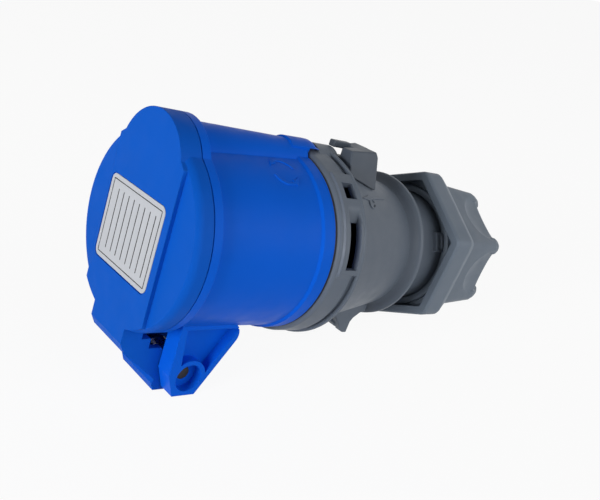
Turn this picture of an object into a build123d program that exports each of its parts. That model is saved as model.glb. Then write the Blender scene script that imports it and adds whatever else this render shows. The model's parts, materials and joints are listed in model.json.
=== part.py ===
from build123d import *
import math
import os

# Industrial cable coupler, 16 A, two poles and earth, with a sprung lid and a claw-ended gland nut.
# Millimetres. Every piece is drawn on the coupler's own axis: X runs from the lid's face to the
# gland nut, Z points to the keyway, and the hinge hangs below. The finished pieces are then moved
# together to one resting place, on the hinge foot and one ridge of the nut.
# Angles round the axis are counted from the near side (-Y) towards the keyway (+Z).

# Clearances
running_gap = 0.3             # between pieces that move past each other
fit_gap = 0.1                 # round a piece that is pushed in and stays
pin_gap = 0.05                # round the hinge pin

# Lid
lid_radius = 27.3
lid_face_radius = 26.4        # where the flat face turns into the rounded rim
lid_rounding = 2.2            # depth of that rounding along the axis
lid_thickness = 6.1
lid_wall = 2.4
lid_rim_wall = 2.8
plateau_rise = 1.2            # raised middle band of the face
plateau_half_width = 16.0
lobe_radius = 15.0            # thumb lobe over the keyway
lobe_top = 31.8
lid_seal_width = 2.3
retainer_half_width = 3.5     # nose that holds a plug in
retainer_height = 2.4
retainer_depth = 5.5

# Hinge arm of the lid
arm_half_width = 8.7
arm_front_bottom = 29.3
arm_knee = (1.5, 32.0)        # behind the face, below the axis
arm_heel = (13.4, 41.1)
arm_shoulder = 28.2           # top of the arm below the housing's flange
arm_window_depth = 3.0
arm_window_length = 4.2
arm_wall = 2.2
arm_barrel_radius = 5.3
spring_slot_half_width = 4.7
spring_slot_radius = 7.2
lip_front = 12.9              # ribbed lip under the arm
lip_length = 4.6
lip_bottom = 44.6

# Rating label, left blank
label_width = 28.0
label_height = 23.5
label_thickness = 0.3
label_recess = 0.4
label_margin = 0.3
label_corner = 2.0
label_drop = 1.5              # its centre below the axis
label_shift = 0.9             # its centre to the far side

# Front housing
flange_thickness = 2.6
body_radius_front = 26.0
body_radius_rear = 26.5
body_length = 33.9            # from the flange to the end collar
collar_rise = 0.7
collar_length = 4.7
shroud_bore = 22.7            # a plug's shroud goes in here
shroud_depth = 37.6
ledge_thickness = 3.0
spigot_radius = 25.4          # bayonet spigot inside the rear housing
spigot_length = 7.4
nib_height = 1.1
nib_width = 2.6
nib_start = 8.0
nib_sweep = 24.0
key_half_width = 4.2
key_top = 28.2
rib_top = 30.1
rib_radius_front = 9.5
rib_radius_rear = 6.1

# Hinge bracket
pin_x = 20.2
pin_z = -37.9
pin_radius = 2.0
cheek_outer = 14.8
cheek_front = 13.5
cheek_top = 21.0              # below the axis, inside the body's wall
bracket_length = 23.0         # where the bracket leaves the body
foot_depth = 43.3
foot_front = 16.2
foot_rear = 23.6
foot_corner_rise = 6.6
foot_rounding = 4.0
boss_radius = 5.4
boss_hole_radius = 4.1
boss_hole_depth = 3.2
pocket_depth = 3.4
pocket_top = 22.9
bracket_rim = 2.0
bracket_rim_foot = 3.5
bracket_roof = 26.4
web_bottom = 33.5
web_thickness = 2.5
spring_coil_radius = 3.1
spring_wire_radius = 0.6
spring_pitch = 1.05
spring_turns = 8
spring_leg_radius = 0.5
spring_leg_length = 6.0
spring_short_leg = 3.4

# Contact carrier and contacts
carrier_radius = 18.2
carrier_front = 10.0
carrier_chamfer = 0.8
carrier_flange_radius = 22.4
carrier_flange_thickness = 3.0
contact_circle = 8.75
pole_bore = 2.5
earth_bore = 3.5
contact_wall = 1.1
contact_recess = 2.0          # from the carrier's face to the contact's end
contact_space = 0.7           # room round the sleeve for its spring ring
guide_gap = 0.2
guide_chamfer = 0.6
contact_slot = 0.8
contact_slot_length = 18.0
spring_ring_offset = 3.0
spring_ring_width = 1.6
spring_ring_thickness = 0.5
terminal_length = 10.0
terminal_size = 8.4
wire_hole_radius = 2.1
wire_hole_length = 8.5
screw_radius = 2.0
screw_head_radius = 3.2
screw_head_height = 1.8
screw_length = 2.9
screw_slot = 0.8
fixing_radius = 1.3
fixing_head_radius = 1.8
fixing_head_height = 1.3
fixing_circle = 20.4
fixing_depth = 2.2            # thread in the housing's ledge
fixing_angles = (30.0, 150.0)
pole_angles = {"live": -30.0, "neutral": 210.0, "earth": 90.0}
pole_radii = {"live": pole_bore, "neutral": pole_bore, "earth": earth_bore}

# Rear housing
seal_gap = 0.8                # room for the body seal between the two housings
seal_ring_thickness = 0.5
ring_radius_front = 28.3
ring_radius_rear = 28.7
ring_rounding = 0.9
ring_length = 9.6
ring_bore = 25.8
ring_lip = 3.1                # the bayonet nibs hook behind this lip
ring_groove = 26.9
ring_rear_wall = 0.8
cone_radius_front = 26.8
cone_radius_rear = 21.0
cone_length = 29.0
rear_wall = 2.4
end_flange_radius = 24.1
end_flange_thickness = 1.6
end_flange_flare = 2.2
neck_radius = 18.8
neck_bore = 15.4
neck_length = 25.0
plate_rise = 0.35             # raised plate round the windows
plate_start = 0.5
plate_end = 62.0
plate_front = 1.6
window_front = 3.9
window_width = 4.2
windows = ((3.5, 39.0), (44.0, 55.0))
twist_range = 28.0
slot_play = 1.5

# Lock slide on the rear housing
lock_front_gap = 2.4          # behind the ring
lock_length = 14.0
lock_top = 31.4
lock_near_top = 8.6
lock_near_bottom = 13.9
lock_bottom = 20.5
lock_split = 2.5
lock_floor = 28.4
lock_finger_near = 0.8
lock_finger_far = 6.5
lock_finger_top = 32.4
lock_finger_length = 7.5
lock_travel = 3.0
tongue_centre = -2.0
tongue_half_width = 2.4
tongue_inset = 1.6
tongue_length = 7.0
tongue_depth = 4.5

# Hook fin under the rear housing
fin_angle = -68.0
fin_thickness = 3.2
fin_tip = 31.4
fin_rise = 4.5                # from the ring to the tip along the axis
fin_tip_width = 2.2
fin_length = 16.0

# Gland
nut_gap = 14.1                # from the end flange to the nut
nut_collar_radius = 27.8
nut_collar_length = 6.6
nut_shoulder_radius = 24.6
nut_shoulder_length = 7.4
nut_tip_radius = 22.8
nut_crown_length = 20.5
nut_corner = 2.0
nut_turn = 36.7               # where the corners stand as tightened
nut_mouth_radius = 21.6
nut_mouth_depth = 3.0
nut_claw_length = 5.2
nut_claw_width = 3.6
claw_foot_radius = 9.0
claw_tip_inner = 20.4
thread_clearance = 0.35
thread_spare = 3.2            # thread past the neck's end
seat_radius = 16.2
seat_length = 2.0
seat_cone_length = 8.0
seat_cone_radius = 11.0
cable_hole = 9.6
scoop_radius = 15.0
scoop_cut = 2.3
scoop_back = 4.2              # scoop centre from the crown's rear
cable_radius = 6.5
gland_seal_radius = 11.2
gland_seal_length = 15.0
gland_seal_start = 9.0        # inside the neck
gland_seal_taper = 3.0
cage_start = 8.4
cage_lip_radius = 9.4
cage_slots = 8
cage_slot_width = 1.2
cage_slot_start = 2.0         # past the neck's end
slip_ring_thickness = 1.5
latch_height = 1.2
latch_length = 4.8
latch_front = 3.0
latch_start = 14.0
latch_end = 34.0

# Stations along the axis
flange_front = lid_thickness + running_gap
flange_rear = flange_front + flange_thickness
collar_front = flange_rear + body_length
collar_rear = collar_front + collar_length
spigot_rear = collar_rear + spigot_length
bore_rear = flange_front + shroud_depth
ledge_rear = bore_rear + ledge_thickness
carrier_rear = ledge_rear + carrier_flange_thickness
contact_front = carrier_front + contact_recess
terminal_front = carrier_rear + running_gap
terminal_rear = terminal_front + terminal_length
ring_front = collar_rear + seal_gap
ring_rear = ring_front + ring_length
nib_front = ring_front + ring_lip + running_gap
cone_rear = ring_rear + cone_length
end_flange_rear = cone_rear + end_flange_flare + end_flange_thickness
neck_rear = end_flange_rear + neck_length
nut_front = end_flange_rear + nut_gap
shoulder_front = nut_front + nut_collar_length
crown_front = shoulder_front + nut_shoulder_length
claw_tip = crown_front + nut_crown_length
crown_rear = claw_tip - nut_claw_length
thread_end = neck_rear + thread_spare
seat_cone_front = thread_end + seat_length
seat_cone_rear = seat_cone_front + seat_cone_length
lock_front = ring_rear + lock_front_gap
lid_inside = plateau_rise + lid_wall
key_angle = 90.0
half_turn = 180.0
carrier_seat = carrier_flange_radius + fit_gap
ledge_bore = carrier_radius + fit_gap
cage_radius = neck_bore - running_gap


def on_circle(radius, angle, x=0.0):
    # a point round the axis, the angle counted from the near side towards the keyway
    turn = math.radians(angle)
    return (x, -radius * math.cos(turn), radius * math.sin(turn))


def radial_plane(angle, x):
    # a plane that faces away from the axis, with its own x along the axis
    return Plane(origin=(x, 0, 0), x_dir=(1, 0, 0), z_dir=on_circle(1, angle))


def axial_plane(angle):
    # a plane through the axis, with its own y pointing away from it
    outward = on_circle(1, angle)
    return Plane(origin=(0, 0, 0), x_dir=(1, 0, 0), z_dir=(0, -outward[2], outward[1]))


def sector(inner, outer, start, end):
    # part of a flat ring, seen along the axis
    with BuildSketch() as shape:
        with BuildLine():
            outside = CenterArc((0, 0), outer, half_turn - end, end - start)
            inside = CenterArc((0, 0), inner, half_turn - end, end - start)
            Line(outside @ 0, inside @ 0)
            Line(outside @ 1, inside @ 1)
        make_face()
    return shape.sketch


def nut_section(radius):
    # the gland nut's hexagon with rounded corners
    with BuildSketch() as shape:
        RegularPolygon(radius, 6, rotation=nut_turn)
        fillet(shape.vertices(), nut_corner)
    return shape.sketch


def bracket_rear(below_axis):
    # place of the bracket's sloping rear edge at a height below the axis
    slope = (cheek_front + bracket_length - foot_rear) / (foot_depth - cheek_top)
    return foot_rear + (foot_depth - below_axis) * slope


# Front housing: flange, tube, end collar and spigot turned as one profile
with BuildPart() as front_housing:
    with BuildSketch(Plane.XZ):
        Polygon(
            (flange_front, 0),
            (flange_front, lid_radius),
            (flange_rear, lid_radius),
            (flange_rear, body_radius_front),
            (collar_front, body_radius_rear),
            (collar_front + collar_rise, body_radius_rear + collar_rise),
            (collar_rear, body_radius_rear + collar_rise),
            (collar_rear, spigot_radius),
            (spigot_rear, spigot_radius),
            (spigot_rear, 0),
            align=None,
        )
    revolve(axis=Axis.X)
    # thumb lobe of the flange, behind the lid's
    with BuildSketch(Plane.YZ.offset(flange_front)):
        with Locations((0, lobe_top - lobe_radius)):
            Circle(lobe_radius)
    extrude(amount=flange_thickness)
    # keyway rib, wide at the flange and narrow at the collar
    with BuildSketch(Plane.YZ.offset(flange_rear)):
        with Locations((0, rib_top - rib_radius_front)):
            Circle(rib_radius_front)
    with BuildSketch(Plane.YZ.offset(collar_rear)):
        with Locations((0, rib_top - rib_radius_rear)):
            Circle(rib_radius_rear)
    loft()
    # hinge bracket as one block, its rear foot corner rounded
    with BuildSketch(Plane.XZ.offset(-cheek_outer)) as bracket_side:
        Polygon(
            (cheek_front, -cheek_top),
            (cheek_front, foot_corner_rise - foot_depth),
            (foot_front, -foot_depth),
            (foot_rear, -foot_depth),
            (cheek_front + bracket_length, -cheek_top),
            align=None,
        )
        fillet(bracket_side.vertices().sort_by(Axis.Z)[:2].sort_by(Axis.X)[-1:], foot_rounding)
    extrude(amount=2 * cheek_outer)
    # slot for the lid's arm, which leaves two cheeks and the sloping rear web
    with BuildSketch(Plane.XZ.offset(-arm_half_width - running_gap)):
        Polygon(
            (cheek_front - 1, -bracket_roof),
            (bracket_rear(bracket_roof) - web_thickness, -bracket_roof),
            (bracket_rear(web_bottom) - web_thickness, -web_bottom),
            (bracket_rear(web_bottom) + 1, -web_bottom),
            (bracket_rear(web_bottom) + 1, -foot_depth - 1),
            (cheek_front - 1, -foot_depth - 1),
            align=None,
        )
    extrude(amount=2 * (arm_half_width + running_gap), mode=Mode.SUBTRACT)
    # pocket and pin recess on each cheek's outer side
    for side in (1, -1):
        with BuildSketch(Plane.XZ.offset(side * cheek_outer)):
            Polygon(
                (cheek_front + bracket_rim, -pocket_top),
                (cheek_front + bracket_rim_foot, pin_z),
                (pin_x, pin_z),
                (bracket_rear(-pin_z) - bracket_rim, pin_z),
                (bracket_rear(pocket_top) - bracket_rim, -pocket_top),
                align=None,
            )
            with Locations((pin_x, pin_z)):
                Circle(boss_radius, mode=Mode.SUBTRACT)
        extrude(amount=-side * pocket_depth, mode=Mode.SUBTRACT)
        with BuildSketch(Plane.XZ.offset(side * cheek_outer)):
            with Locations((pin_x, pin_z)):
                Circle(boss_hole_radius)
        extrude(amount=-side * boss_hole_depth, mode=Mode.SUBTRACT)
    with BuildSketch(Plane.XZ.offset(-cheek_outer)):
        with Locations((pin_x, pin_z)):
            Circle(pin_radius + pin_gap)
    extrude(amount=2 * cheek_outer, mode=Mode.SUBTRACT)
    # shroud bore, ledge and the carrier's seat
    with BuildSketch(Plane.XZ):
        Polygon(
            (flange_front, 0),
            (flange_front, shroud_bore),
            (bore_rear, shroud_bore),
            (bore_rear, ledge_bore),
            (ledge_rear, ledge_bore),
            (ledge_rear, carrier_seat),
            (spigot_rear, carrier_seat),
            (spigot_rear, 0),
            align=None,
        )
    revolve(axis=Axis.X, mode=Mode.SUBTRACT)
    with BuildSketch(Plane.YZ.offset(flange_front)):
        with Locations((0, key_top / 2)):
            Rectangle(2 * key_half_width, key_top)
    extrude(amount=shroud_depth, mode=Mode.SUBTRACT)
    # bayonet nibs
    with BuildSketch(Plane.YZ.offset(nib_front)):
        for turn in (0, half_turn):
            start = nib_start + turn
            add(sector(spigot_radius - 1, spigot_radius + nib_height, start, start + nib_sweep))
    extrude(amount=nib_width)
    # threads for the carrier's screws
    with BuildSketch(Plane.YZ.offset(ledge_rear)):
        for angle in fixing_angles:
            with Locations(on_circle(fixing_circle, angle)[1:]):
                Circle(fixing_radius + pin_gap)
    extrude(amount=-fixing_depth, mode=Mode.SUBTRACT)

# Lid: shell with a raised band, thumb lobe and hinge arm
with BuildPart() as lid:
    with BuildSketch(Plane.XZ):
        with BuildLine():
            Polyline((lid_thickness, lid_radius), (lid_thickness, 0), (plateau_rise, 0))
            Line((plateau_rise, 0), (plateau_rise, lid_face_radius))
            Line(
                (plateau_rise + lid_rounding, lid_radius),
                (lid_thickness, lid_radius),
            )
            TangentArc(
                (plateau_rise + lid_rounding, lid_radius),
                (plateau_rise, lid_face_radius),
                tangent=(-1, 0),
            )
        make_face()
    revolve(axis=Axis.X)
    with BuildSketch(Plane.YZ):
        Circle(lid_face_radius)
        Rectangle(2 * plateau_half_width, 4 * lid_radius, mode=Mode.INTERSECT)
        with Locations((0, lobe_top - lobe_radius)):
            Circle(lobe_radius)
    extrude(amount=plateau_rise)
    with BuildSketch(Plane.YZ):
        with Locations((0, lobe_top - lobe_radius)):
            Circle(lobe_radius)
    extrude(amount=lid_thickness)
    # hinge arm with its barrel and ribbed lip
    with BuildSketch(Plane.XZ.offset(-arm_half_width)):
        Polygon(
            (0, -cheek_top),
            (0, -arm_front_bottom),
            (arm_knee[0], -arm_knee[1]),
            (arm_heel[0], -arm_heel[1]),
            (lip_front, -arm_heel[1] - 1.2),
            (lip_front + 1, -lip_bottom),
            (lip_front + lip_length, -lip_bottom),
            (pin_x, pin_z - arm_barrel_radius),
            (pin_x, pin_z),
            (flange_rear + arm_window_length, -arm_shoulder - arm_window_depth),
            (flange_rear, -arm_shoulder - arm_window_depth),
            (flange_rear, -arm_shoulder),
            (lid_thickness, -arm_shoulder),
            (lid_thickness, -cheek_top),
            align=None,
        )
        with Locations((pin_x, pin_z)):
            Circle(arm_barrel_radius)
    extrude(amount=2 * arm_half_width)
    # inside of the shell
    with BuildSketch(Plane.XZ):
        Polygon(
            (lid_inside, 0),
            (lid_inside, lid_radius - lid_rim_wall),
            (lid_thickness, lid_radius - lid_rim_wall),
            (lid_thickness, 0),
            align=None,
        )
    revolve(axis=Axis.X, mode=Mode.SUBTRACT)
    # the arm is open inside, with a slot for the spring and a bore for the pin
    with BuildSketch(Plane.XZ.offset(arm_wall - arm_half_width)):
        Polygon(
            (lid_thickness + arm_wall, -arm_shoulder - arm_window_depth - arm_wall),
            (arm_heel[0] + arm_wall / 2, arm_wall - arm_heel[1] + arm_wall / 4),
            (pin_x, pin_z),
            (flange_rear + arm_window_length, -arm_shoulder),
            (flange_rear, -arm_shoulder),
            align=None,
        )
    extrude(amount=2 * (arm_half_width - arm_wall), mode=Mode.SUBTRACT)
    with BuildSketch(Plane.XZ.offset(-spring_slot_half_width)):
        with Locations((pin_x, pin_z)):
            Circle(spring_slot_radius)
    extrude(amount=2 * spring_slot_half_width, mode=Mode.SUBTRACT)
    with BuildSketch(Plane.XZ.offset(-arm_half_width)):
        with Locations((pin_x, pin_z)):
            Circle(pin_radius + pin_gap)
    extrude(amount=2 * arm_half_width, mode=Mode.SUBTRACT)
    # nose that hooks over a plug's collar
    with BuildSketch(Plane.YZ.offset(lid_inside)):
        with Locations((0, shroud_bore - 1 - retainer_height / 2)):
            Rectangle(2 * retainer_half_width, retainer_height)
    extrude(amount=retainer_depth)
    # recess for the label
    with BuildSketch(Plane.YZ):
        with Locations((label_shift, -label_drop)):
            RectangleRounded(
                label_width + 2 * label_margin,
                label_height + 2 * label_margin,
                label_corner + label_margin,
            )
    extrude(amount=label_recess, mode=Mode.SUBTRACT)

# Blank rating label
with BuildPart() as rating_label:
    with BuildSketch(Plane.YZ.offset(label_recess - label_thickness)):
        with Locations((label_shift, -label_drop)):
            RectangleRounded(label_width, label_height, label_corner)
    extrude(amount=label_thickness)

# Gasket ring inside the lid
with BuildPart() as lid_seal:
    with BuildSketch(Plane.YZ.offset(lid_inside)):
        Circle(lid_radius - lid_rim_wall - fit_gap)
        Circle(lid_radius - lid_rim_wall - fit_gap - lid_seal_width, mode=Mode.SUBTRACT)
    extrude(amount=lid_thickness - lid_inside)

# Hinge pin, flush with the floor of the two recesses
with BuildPart() as hinge_pin:
    with BuildSketch(Plane.XZ.offset(boss_hole_depth - cheek_outer)):
        with Locations((pin_x, pin_z)):
            Circle(pin_radius)
    extrude(amount=2 * (cheek_outer - boss_hole_depth))

# Torsion spring: close turns round the pin, a long leg to the web and a short one to the arm
with BuildPart() as hinge_spring:
    with BuildSketch(Plane.XY.offset(pin_z)):
        with Locations((pin_x + spring_coil_radius, 0)):
            with GridLocations(0, spring_pitch, 1, spring_turns):
                Circle(spring_wire_radius)
    revolve(axis=Axis((pin_x, 0, pin_z), (0, 1, 0)))
    end_turn = spring_pitch * (spring_turns - 1) / 2
    long_leg = Plane(origin=(pin_x + spring_coil_radius, end_turn, pin_z), z_dir=(0.55, 0, 0.84))
    short_leg = Plane(origin=(pin_x, -end_turn, pin_z + spring_coil_radius), z_dir=(-1, 0, 0.1))
    with BuildSketch(long_leg):
        Circle(spring_leg_radius)
    extrude(amount=spring_leg_length)
    with BuildSketch(short_leg):
        Circle(spring_leg_radius)
    extrude(amount=spring_short_leg)

# Contact carrier with its fixing flange
with BuildPart() as contact_carrier:
    with BuildSketch(Plane.XZ):
        Polygon(
            (carrier_front, 0),
            (carrier_front, carrier_radius - carrier_chamfer),
            (carrier_front + carrier_chamfer, carrier_radius),
            (ledge_rear, carrier_radius),
            (ledge_rear, carrier_flange_radius),
            (carrier_rear, carrier_flange_radius),
            (carrier_rear, 0),
            align=None,
        )
    revolve(axis=Axis.X)
    for pole, angle in pole_angles.items():
        centre = on_circle(contact_circle, angle)[1:]
        with BuildSketch(Plane.YZ.offset(carrier_front)):
            with Locations(centre):
                Circle(pole_radii[pole] + guide_gap)
        extrude(amount=contact_recess, mode=Mode.SUBTRACT)
        with BuildSketch(Plane.YZ.offset(carrier_front)):
            with Locations(centre):
                Circle(pole_radii[pole] + guide_gap + guide_chamfer)
        extrude(amount=guide_chamfer, taper=45, mode=Mode.SUBTRACT)
        with BuildSketch(Plane.YZ.offset(contact_front)):
            with Locations(centre):
                Circle(pole_radii[pole] + contact_wall + contact_space)
        extrude(amount=carrier_rear - contact_front, mode=Mode.SUBTRACT)
    with BuildSketch(Plane.YZ.offset(ledge_rear)):
        for angle in fixing_angles:
            with Locations(on_circle(fixing_circle, angle)[1:]):
                Circle(fixing_radius + fit_gap)
    extrude(amount=carrier_flange_thickness, mode=Mode.SUBTRACT)

# Contacts, their spring rings and terminal screws
contacts = {}
terminal_screws = {}
for pole, angle in pole_angles.items():
    centre = on_circle(contact_circle, angle)[1:]
    sleeve_radius = pole_radii[pole] + contact_wall
    block_face = contact_circle + terminal_size / 2
    with BuildPart() as contact:
        with BuildSketch(Plane.YZ.offset(contact_front)):
            with Locations(centre):
                Circle(sleeve_radius)
        extrude(amount=terminal_front - contact_front)
        with BuildSketch(Plane.YZ.offset(terminal_front)):
            with Locations(centre):
                Rectangle(terminal_size, terminal_size, rotation=-angle)
        extrude(amount=terminal_length)
        with BuildSketch(Plane.YZ.offset(contact_front)):
            with Locations(centre):
                Circle(pole_radii[pole])
        extrude(amount=carrier_rear - contact_front, mode=Mode.SUBTRACT)
        with BuildSketch(Plane.YZ.offset(contact_front)):
            with Locations(centre):
                Rectangle(2 * sleeve_radius + 1, contact_slot)
        extrude(amount=contact_slot_length, mode=Mode.SUBTRACT)
        with BuildSketch(Plane.YZ.offset(terminal_rear)):
            with Locations(centre):
                Circle(wire_hole_radius)
        extrude(amount=-wire_hole_length, mode=Mode.SUBTRACT)
        with BuildSketch(radial_plane(angle, terminal_front + terminal_length / 2).offset(block_face)):
            Circle(screw_radius + pin_gap)
        extrude(amount=-terminal_size / 2, mode=Mode.SUBTRACT)
    contact.part.label = "contact_" + pole
    contacts[pole] = contact
    with BuildPart() as screw:
        with BuildSketch(radial_plane(angle, terminal_front + terminal_length / 2).offset(block_face)):
            Circle(screw_head_radius)
        extrude(amount=screw_head_height)
        with BuildSketch(radial_plane(angle, terminal_front + terminal_length / 2).offset(block_face)):
            Circle(screw_radius)
        extrude(amount=-screw_length)
        head_top = radial_plane(angle, terminal_front + terminal_length / 2).offset(block_face + screw_head_height)
        with BuildSketch(head_top):
            Rectangle(2 * screw_head_radius, screw_slot)
        extrude(amount=-screw_head_height / 2, mode=Mode.SUBTRACT)
    screw.part.label = "terminal_screw_" + pole
    terminal_screws[pole] = screw

with BuildPart() as contact_springs:
    for pole, angle in pole_angles.items():
        sleeve_radius = pole_radii[pole] + contact_wall
        with BuildSketch(Plane.YZ.offset(contact_front + spring_ring_offset)):
            with Locations(on_circle(contact_circle, angle)[1:]):
                Circle(sleeve_radius + pin_gap + spring_ring_thickness)
                Circle(sleeve_radius + pin_gap, mode=Mode.SUBTRACT)
        extrude(amount=spring_ring_width)

# Screws that hold the carrier to the ledge
with BuildPart() as carrier_screws:
    for angle in fixing_angles:
        centre = on_circle(fixing_circle, angle)[1:]
        with BuildSketch(Plane.YZ.offset(carrier_rear)):
            with Locations(centre):
                Circle(fixing_head_radius)
        extrude(amount=fixing_head_height)
        with BuildSketch(Plane.YZ.offset(carrier_rear)):
            with Locations(centre):
                Circle(fixing_radius)
        extrude(amount=-carrier_flange_thickness - fixing_depth)

# Seal between the two housings
with BuildPart() as body_seal:
    with BuildSketch(Plane.YZ.offset(collar_rear)):
        Circle(body_radius_rear + collar_rise)
        Circle(spigot_radius + fit_gap, mode=Mode.SUBTRACT)
    extrude(amount=seal_ring_thickness)

# Rear housing: bayonet ring, cone, end flange and threaded neck turned as one profile
with BuildPart() as rear_housing:
    with BuildSketch(Plane.XZ):
        Polygon(
            (ring_front, 0),
            (ring_front, ring_radius_front - ring_rounding),
            (ring_front + ring_rounding, ring_radius_front),
            (ring_rear, ring_radius_rear),
            (ring_rear, cone_radius_front),
            (cone_rear, cone_radius_rear),
            (cone_rear + end_flange_flare, end_flange_radius),
            (end_flange_rear, end_flange_radius),
            (end_flange_rear, neck_radius),
            (neck_rear, neck_radius),
            (neck_rear, 0),
            align=None,
        )
    revolve(axis=Axis.X)
    # the keyway rib runs on over the ring
    with BuildSketch(Plane.YZ.offset(ring_front)):
        with Locations((0, rib_top - rib_radius_rear)):
            Circle(rib_radius_rear)
    extrude(amount=ring_length)
    # raised plate round the windows, on both sides
    with BuildSketch(Plane.YZ.offset(ring_front + plate_front)):
        for turn in (0, half_turn):
            add(sector(ring_bore, ring_radius_rear + plate_rise, plate_start + turn, plate_end + turn))
    extrude(amount=ring_length - plate_front)
    # hook fin
    with BuildSketch(axial_plane(fin_angle)):
        Polygon(
            (ring_rear, cone_radius_front - 1),
            (ring_rear, ring_radius_rear - 1),
            (ring_rear + fin_rise, fin_tip),
            (ring_rear + fin_rise + fin_tip_width, fin_tip),
            (ring_rear + fin_rise + 2 * fin_tip_width, fin_tip - 2.8),
            (ring_rear + fin_length, cone_radius_front - 4),
            align=None,
        )
    extrude(amount=fin_thickness / 2, both=True)
    # latch pad on the neck
    with BuildSketch(Plane.YZ.offset(nut_front - latch_front)):
        add(sector(neck_radius - 1, neck_radius + latch_height, latch_start, latch_end))
    extrude(amount=latch_length)
    # inside
    with BuildSketch(Plane.XZ):
        Polygon(
            (ring_front, 0),
            (ring_front, ring_bore),
            (ring_front + ring_lip, ring_bore),
            (ring_front + ring_lip, ring_groove),
            (ring_rear - ring_rear_wall, ring_groove),
            (ring_rear + ring_rear_wall, cone_radius_front - rear_wall),
            (cone_rear, cone_radius_rear - rear_wall),
            (end_flange_rear, neck_bore),
            (neck_rear, neck_bore),
            (neck_rear, 0),
            align=None,
        )
    revolve(axis=Axis.X, mode=Mode.SUBTRACT)
    # windows, and the slots that let the nibs out
    with BuildSketch(Plane.YZ.offset(ring_front + window_front)):
        for turn in (0, half_turn):
            for start, end in windows:
                add(sector(ring_bore - 1, lobe_top, start + turn, end + turn))
    extrude(amount=window_width, mode=Mode.SUBTRACT)
    with BuildSketch(Plane.YZ.offset(ring_front)):
        for turn in (0, half_turn):
            start = nib_start + twist_range - slot_play + turn
            end = nib_start + nib_sweep + twist_range + slot_play + turn
            add(sector(ring_bore - 1, ring_groove, start, end))
    extrude(amount=ring_lip, mode=Mode.SUBTRACT)
    # slot under the lock slide
    with BuildSketch(Plane.XY.offset(neck_bore)):
        with Locations((lock_front + tongue_inset + (tongue_length + lock_travel) / 2, tongue_centre)):
            Rectangle(
                tongue_length + lock_travel + 2 * running_gap,
                2 * (tongue_half_width + running_gap),
            )
    extrude(amount=lock_top - neck_bore, mode=Mode.SUBTRACT)

# Lock slide: a grip block, a raised finger and a tongue through the slot
with BuildPart() as lock_slide:
    with BuildSketch(Plane.YZ.offset(lock_front)):
        Polygon(
            (-lock_near_top, lock_top),
            (-lock_split, lock_top),
            (-lock_split, lock_floor),
            (lock_finger_far, lock_floor),
            (lock_finger_far, lock_bottom),
            (-lock_near_bottom, lock_bottom),
            align=None,
        )
    extrude(amount=lock_length)
    with BuildSketch(Plane.YZ.offset(lock_front)):
        with Locations(((lock_finger_near + lock_finger_far) / 2, (lock_finger_top + lock_bottom) / 2)):
            RectangleRounded(
                lock_finger_far - lock_finger_near,
                lock_finger_top - lock_bottom,
                2.0,
            )
    extrude(amount=lock_finger_length)
    with BuildSketch(Plane.XZ):
        Polygon(
            (ring_rear - 1, 0),
            (ring_rear - 1, cone_radius_front + running_gap),
            (ring_rear, cone_radius_front + running_gap),
            (cone_rear, cone_radius_rear + running_gap),
            (cone_rear, 0),
            align=None,
        )
    revolve(axis=Axis.X, mode=Mode.SUBTRACT)
    with BuildSketch(Plane.XY.offset(cone_radius_front - tongue_depth)):
        with Locations((lock_front + tongue_inset + tongue_length / 2, tongue_centre)):
            Rectangle(tongue_length, 2 * tongue_half_width)
    extrude(amount=tongue_depth + 1)

# Clamping cage in the neck
with BuildPart() as gland_cage:
    with BuildSketch(Plane.XZ):
        Polygon(
            (neck_rear - cage_start, gland_seal_radius + fit_gap),
            (neck_rear - cage_start, cage_radius),
            (seat_cone_front - running_gap, cage_radius),
            (seat_cone_rear - 1.5, seat_cone_radius),
            (seat_cone_rear - 1.5, cage_lip_radius),
            (seat_cone_front, gland_seal_radius + fit_gap),
            align=None,
        )
    revolve(axis=Axis.X)
    with BuildSketch(Plane.YZ.offset(neck_rear + cage_slot_start)):
        with PolarLocations(0, cage_slots // 2, angular_range=half_turn, endpoint=False):
            Rectangle(2 * nut_collar_radius, cage_slot_width)
    extrude(amount=nut_crown_length, mode=Mode.SUBTRACT)

# Rubber gland seal in the cage
with BuildPart() as gland_seal:
    seal_start = neck_rear - gland_seal_start
    seal_end = seal_start + gland_seal_length
    with BuildSketch(Plane.XZ):
        Polygon(
            (seal_start, cable_radius),
            (seal_start, gland_seal_radius),
            (seal_end - gland_seal_taper, gland_seal_radius),
            (seal_end, gland_seal_radius - 1.8),
            (seal_end, cable_radius),
            align=None,
        )
    revolve(axis=Axis.X)

# Slip ring between the cage and the nut
with BuildPart() as slip_ring:
    with BuildSketch(Plane.YZ.offset(thread_end - running_gap - slip_ring_thickness)):
        Circle(neck_radius)
        Circle(cage_radius + running_gap, mode=Mode.SUBTRACT)
    extrude(amount=slip_ring_thickness)

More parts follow.
